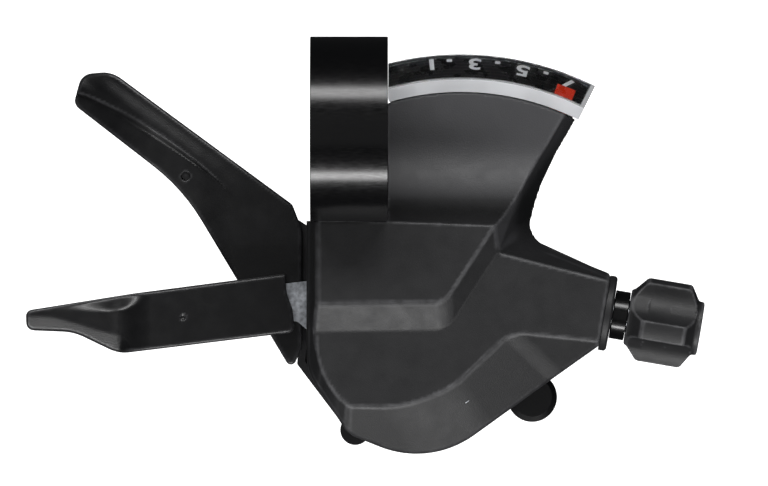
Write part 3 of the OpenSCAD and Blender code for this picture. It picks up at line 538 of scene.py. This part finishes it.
class Finish:
    """A node material with short names for what it is built from."""

    def __init__(self, name, color, roughness, metallic=0.0):
        self.material = bpy.data.materials.new(name)
        self.material.use_nodes = True
        self.tree = self.material.node_tree
        self.shader = self.tree.nodes["Principled BSDF"]
        self.place = self.node("ShaderNodeTexCoord").outputs["Object"]
        self.color = color
        self.set("Roughness", roughness)
        self.set("Metallic", metallic)
        self.set("Base Color", (*color, 1))

    def node(self, kind, **values):
        """A new node of that kind, with its settings."""
        made = self.tree.nodes.new(kind)
        for key, value in values.items():
            setattr(made, key, value)
        return made

    def set(self, socket, value):
        """A value that is the same all over, on the shader's own socket."""
        self.shader.inputs[socket].default_value = value

    def link(self, source, target):
        """Joins an output to an input."""
        self.tree.links.new(source, target)

    def noise(self, scale, detail=3.0, stretch=None):
        """Noise with scale features per metre, stretched along an axis where asked."""
        place = self.place
        if stretch:
            mapping = self.node("ShaderNodeMapping")
            mapping.inputs["Scale"].default_value = stretch
            self.link(place, mapping.inputs["Vector"])
            place = mapping.outputs["Vector"]
        made = self.node("ShaderNodeTexNoise")
        made.inputs["Scale"].default_value = scale
        made.inputs["Detail"].default_value = detail
        self.link(place, made.inputs["Vector"])
        return made.outputs["Fac"]

    def span(self, source, low, high, start=0.3, end=0.7):
        """source, from start to end, becomes low to high."""
        made = self.node("ShaderNodeMapRange")
        for socket, value in (("From Min", start), ("From Max", end), ("To Min", low), ("To Max", high)):
            made.inputs[socket].default_value = value
        self.link(source, made.inputs["Value"])
        return made.outputs["Result"]

    def math(self, operation, a, b):
        """Arithmetic on two numbers or outputs, kept between 0 and 1."""
        made = self.node("ShaderNodeMath", operation=operation, use_clamp=True)
        for socket, value in zip(made.inputs, (a, b)):
            if isinstance(value, (int, float)):
                socket.default_value = value
            else:
                self.link(value, socket)
        return made.outputs[0]

    def mix(self, factor, a, b):
        """Colour a to b by factor; each colour is a triple or a socket."""
        made = self.node("ShaderNodeMix", data_type="RGBA")
        self.link(factor, made.inputs["Factor"])
        for socket, value in ((made.inputs["A"], a), (made.inputs["B"], b)):
            sockets = [s for s in made.inputs if s.name == socket.name and s.type == "RGBA"]
            if isinstance(value, tuple):
                sockets[0].default_value = (*value, 1)
            else:
                self.link(value, sockets[0])
        return next(s for s in made.outputs if s.type == "RGBA")

    def tint(self, factor, low, high):
        """Base colour between two multiples of the finish's own colour."""
        shade = self.mix(factor, tuple(c * low for c in self.color), tuple(c * high for c in self.color))
        self.link(shade, self.shader.inputs["Base Color"])
        return shade

    def bump(self, height, microns, strength):
        """Relief of that many microns."""
        made = self.node("ShaderNodeBump")
        made.inputs["Distance"].default_value = microns * MICRON
        made.inputs["Strength"].default_value = strength
        self.link(height, made.inputs["Height"])
        self.link(made.outputs["Normal"], self.shader.inputs["Normal"])

    def painted_edge_highlight(self, shade, gain):
        """Painted highlight: outer edges are painted paler, broken up by noise."""
        edge = self.node("ShaderNodeAttribute", attribute_name="edge").outputs["Fac"]
        edge_glint_mask = self.math("MULTIPLY", edge, self.span(self.noise(700), 0.3, 1.0))
        self.link(self.mix(edge_glint_mask, shade, tuple(min(1, c * gain + 0.02) for c in self.color)),
                  self.shader.inputs["Base Color"])

    def scaled(self, source, factor):
        """source times factor, not kept between 0 and 1."""
        made = self.node("ShaderNodeMath", operation="MULTIPLY")
        self.link(source, made.inputs[0])
        made.inputs[1].default_value = factor
        return made.outputs[0]

    def vector(self, operation, source, other=None):
        """The node that does vector arithmetic on source and a fixed vector."""
        made = self.node("ShaderNodeVectorMath", operation=operation)
        self.link(source, made.inputs[0])
        if other is not None:
            made.inputs[1].default_value = other
        return made

    def from_pivot(self):
        """The level vector from the indicator's pivot, and its length."""
        offset = self.vector("SUBTRACT", self.place, (PIVOT[0] * MM, PIVOT[1] * MM, 0))
        flat = self.vector("MULTIPLY", offset.outputs["Vector"], (1, 1, 0)).outputs["Vector"]
        return flat, self.vector("LENGTH", flat).outputs["Value"]


def moulded(name, color, roughness, grain, glint_gain, painted_sheen_gain=1.0):
    """Moulded black plastic with a fine spark-eroded grain, a painted highlight on its outer edges, and,
    where asked, painted light and shade from the vertex attribute.
    """
    f = Finish(name, color, roughness)
    shade = f.tint(f.span(f.noise(90), 0, 1), 0.86, 1.14)
    # Painted light: paler where the attribute is above 0 (painted sheen and highlight), much darker where it
    # is below 0 (painted shade)
    if painted_sheen_gain > 1:
        painted_light = f.node("ShaderNodeAttribute", attribute_name="painted_light").outputs["Fac"]
        shade = f.mix(f.span(painted_light, 0, 1, 0, 1), shade, tuple(c * painted_sheen_gain for c in color))
        shade = f.mix(f.span(painted_light, 1, 0, -1, 0), shade, tuple(c * 0.2 for c in color))
    # Painted highlight along the outer edges
    f.painted_edge_highlight(shade, glint_gain)
    f.link(f.span(f.noise(420, 5), roughness - 0.05, roughness + 0.05), f.shader.inputs["Roughness"])
    f.bump(f.noise(5200, 4), grain, 0.6)
    return f.material


def gloss(name, color, roughness):
    """Smooth gloss paint or moulding with faint orange peel and fine scratches."""
    f = Finish(name, color, roughness)
    f.tint(f.span(f.noise(60), 0, 1), 0.9, 1.1)
    scratches = f.noise(800, 6, (1, 9, 9))
    f.link(f.span(scratches, roughness - 0.04, roughness + 0.07), f.shader.inputs["Roughness"])
    f.bump(f.noise(380, 2), 10, 0.25)
    return f.material


def metal(name, color, roughness, grain_scale, depth, stretch=None):
    """Plated steel whose grain is speckled, or drawn out along stretch."""
    f = Finish(name, color, roughness, 1.0)
    speckle = f.noise(grain_scale, 5, stretch)
    f.tint(f.span(speckle, 0, 1), 0.62, 1.25)
    f.link(f.span(f.noise(300, 4), roughness - 0.08, roughness + 0.1), f.shader.inputs["Roughness"])
    f.bump(speckle, depth, 0.8)
    return f.material


def nylon(name, color):
    """Translucent-looking natural nylon."""
    f = Finish(name, color, 0.48)
    f.tint(f.span(f.noise(150), 0, 1), 0.9, 1.06)
    f.set("Subsurface Weight", 0.15)
    f.set("Subsurface Scale", 0.001)
    f.link(f.span(f.noise(500, 4), 0.4, 0.56), f.shader.inputs["Roughness"])
    f.bump(f.noise(2500, 3), 20, 0.5)
    return f.material


END_FACE = (0.888, -0.46, 0)              # direction that the window's right-hand end faces
RING_PITCH = 0.45


def clear(name, color):
    """Clear moulding whose flat rim is frosted by the tool."""
    f = Finish(name, color, 0.05)
    f.set("IOR", 1.45)
    flat, length = f.from_pivot()
    rim = f.span(length, 1, 0, (RIM_R - 0.12) * MM, (RIM_R + 0.05) * MM)
    cloud = f.span(f.noise(200, 2), 0.52, 0.72)
    haze = f.math("MULTIPLY", rim, cloud)
    across = f.vector("DOT_PRODUCT", flat, END_FACE).outputs["Value"]
    end = f.span(across, 0, 0.45, -1.3 * MM, -1.1 * MM)
    haze = f.math("MAXIMUM", haze, end)
    f.link(f.mix(haze, (0.97, 0.98, 0.99), color), f.shader.inputs["Base Color"])
    f.link(f.span(haze, 1.0, 0.25, 0, 0.75), f.shader.inputs["Transmission Weight"])
    f.link(f.span(haze, 0.04, 0.4, 0, 0.75), f.shader.inputs["Roughness"])
    f.bump(f.noise(900, 3), 10, 0.4)
    return f.material


def dial(name, color):
    """Gloss black with fine turned rings about the pivot."""
    f = Finish(name, color, 0.28)
    _flat, length = f.from_pivot()
    rings = f.node("ShaderNodeMath", operation="SINE")
    f.link(f.scaled(length, 2 * math.pi / (RING_PITCH * MM)), rings.inputs[0])
    ridge = f.span(rings.outputs[0], 0, 1, 0.55, 1.0)
    f.tint(ridge, 1.0, 3.4)
    f.link(f.span(f.noise(500, 4), 0.22, 0.36), f.shader.inputs["Roughness"])
    f.bump(ridge, 30, 0.6)
    return f.material


def painted(name, color, roughness):
    """Opaque bright paint or coloured moulding with slight mottling."""
    f = Finish(name, color, roughness)
    f.tint(f.span(f.noise(220, 4), 0, 1), 0.9, 1.08)
    f.link(f.span(f.noise(600, 4), roughness - 0.06, roughness + 0.08), f.shader.inputs["Roughness"])
    f.bump(f.noise(1800, 3), 10, 0.5)
    return f.material


FINISHES = {
    # The top cover's painted highlight reaches 3.5 times its own colour
    "satin_plastic": moulded("satin_plastic", (0.0165, 0.0165, 0.0176), 0.5, 50, 4.4, 3.5),
    "lever_plastic": moulded("lever_plastic", (0.006, 0.006, 0.0066), 0.36, 30, 4.5),
    "gloss_band": gloss("gloss_band", (0.003, 0.003, 0.0033), 0.2),
    "dial_black": dial("dial_black", (0.008, 0.008, 0.008)),
    "clear_window": clear("clear_window", (0.78, 0.79, 0.82)),
    "coated_steel": painted("coated_steel", (0.010, 0.010, 0.011), 0.45),
    "needle_red": painted("needle_red", (0.80, 0.045, 0.015), 0.3),
    "bright_steel": metal("bright_steel", (0.74, 0.77, 0.82), 0.42, 1500, 60),
    "zinc_steel": metal("zinc_steel", (0.34, 0.35, 0.37), 0.34, 900, 20, (1, 1, 7)),
    "spring_steel": metal("spring_steel", (0.30, 0.30, 0.32), 0.3, 1500, 10, (6, 6, 1)),
    "nylon": nylon("nylon", (0.72, 0.72, 0.68)),
}


WELD, EASING, SHARPER_THAN = 0.002, 0.12, 32       # millimetres, millimetres, degrees


def finish_frame():
    """CAD nodes keep their shape and get eased edges and a finish."""
    for name, node in frame["nodes"].items():
        node.data.materials.clear()
        node.data.materials.append(FINISHES[SLOT_OF[name]])
        if "custom_normal" in node.data.attributes:
            node.data.attributes.remove(node.data.attributes["custom_normal"])
        weld = node.modifiers.new("weld", "WELD")
        weld.merge_threshold = WELD * MM
        bevel = node.modifiers.new("bevel", "BEVEL")
        bevel.width, bevel.segments, bevel.limit_method = EASING * MM, 2, "ANGLE"
        bevel.angle_limit = math.radians(SHARPER_THAN)
        bevel.harden_normals = True
        node.data.polygons.foreach_set("use_smooth", np.ones(len(node.data.polygons), bool))


def make_pieces():
    """The moulded parts, each in place of its CAD node, and the marks on the dial."""
    made = [
        piece("top_cover_shell", top_cover, (-6.6, -52, SKIRT_Z), (41.5, 6.5, UPPER_Z), 0.36,
              "pod", "satin_plastic", "top_cover"),
        piece("thumb_lever_moulding", thumb_lever, (-43, -37, -33.6), (-6.8, 9.5, -20.5), 0.33,
              "thumb_lever", "lever_plastic", "thumb_lever_cover"),
        piece("trigger_moulding", trigger, (-50, -35, -21.2), (-7.5, -21, -9), 0.3,
              "trigger", "lever_plastic", "trigger_cover"),
        piece("adjuster_knob_moulding", knob, (41.5, -37.5, -18), (54.5, -21.5, -4.5), 0.24,
              "adjuster", "satin_plastic", "adjuster_knob"),
    ]
    for thing in made:
        thing.data.materials.append(FINISHES[thing["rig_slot"]])
    white = painted("dial_white", (0.86, 0.87, 0.88), 0.4)
    marks = [digit(text, angle, radius) for text, angle, radius in DIGITS]
    marks += [dot(i + 1, angle, DOT_R) for i, angle in enumerate(DOT_ANGLES)]
    for mark in marks:
        mark.data.materials.clear()
        mark.data.materials.append(white)


# ---------- stage ----------

def panel(name, tilt, turn, distance, width, height, radiance):
    """A soft light, tilt degrees from overhead towards the compass direction turn."""
    light = bpy.data.lights.new(name, "AREA")
    light.shape, light.size, light.size_y = "RECTANGLE", width, height
    light.energy = math.pi * width * height * radiance
    holder = bpy.data.objects.new(name, light)
    t, a = math.radians(tilt), math.radians(turn)
    away = (math.sin(t) * math.cos(a), math.sin(t) * math.sin(a), math.cos(t))
    holder.location = [c + distance * d for c, d in zip(LIT_POINT, away)]
    holder.rotation_euler = (0, t, a)
    holder.visible_camera = False
    bpy.context.scene.collection.objects.link(holder)


def pale_ground():
    """Pale matt surface that gives some light of its own, so that the ground stays white."""
    f = Finish("floor", (1, 1, 1), 0.9)
    f.tint(f.span(f.noise(3, 2), 0, 1), 0.99 * 0.8, 0.8)
    f.set("Specular IOR Level", 0.1)
    f.set("Emission Color", (1, 1, 1, 1))
    f.set("Emission Strength", FLOOR_GLOW)
    return f.material


def make_stage():
    """Camera straight above the covers, a pale floor that the camera alone sees, and four soft lights."""
    scene = bpy.context.scene
    scene.view_settings.view_transform = "Standard"
    cam = bpy.data.cameras.new("camera")
    cam.sensor_width, cam.lens = SENSOR, SENSOR * CAMERA_Z / VIEW_WIDTH
    cam.clip_start, cam.clip_end = 0.1, 20
    holder = bpy.data.objects.new("camera", cam)
    holder.location = (*VIEW_CENTRE, CAMERA_Z)
    scene.collection.objects.link(holder)
    scene.camera = holder

    floor_mesh = bpy.data.meshes.new("floor")
    corners = ((-1, -1), (1, -1), (1, 1), (-1, 1))
    floor_mesh.from_pydata([(i * FLOOR_HALF, j * FLOOR_HALF, FLOOR_Z) for i, j in corners],
                           [], [(0, 1, 2, 3)])
    floor = bpy.data.objects.new("floor", floor_mesh)
    floor.data.materials.append(pale_ground())
    scene.collection.objects.link(floor)
    floor.visible_glossy = False
    floor.visible_diffuse = False
    floor.visible_transmission = False

    world = bpy.data.worlds.new("world")
    world.use_nodes = True
    sky = world.node_tree.nodes["Background"]
    sky.inputs["Color"].default_value = (0.9, 0.95, 1, 1)
    sky.inputs["Strength"].default_value = 0.02
    scene.world = world

    for light in LIGHTS:
        panel(*light)


make_stage()
make_pieces()
finish_frame()
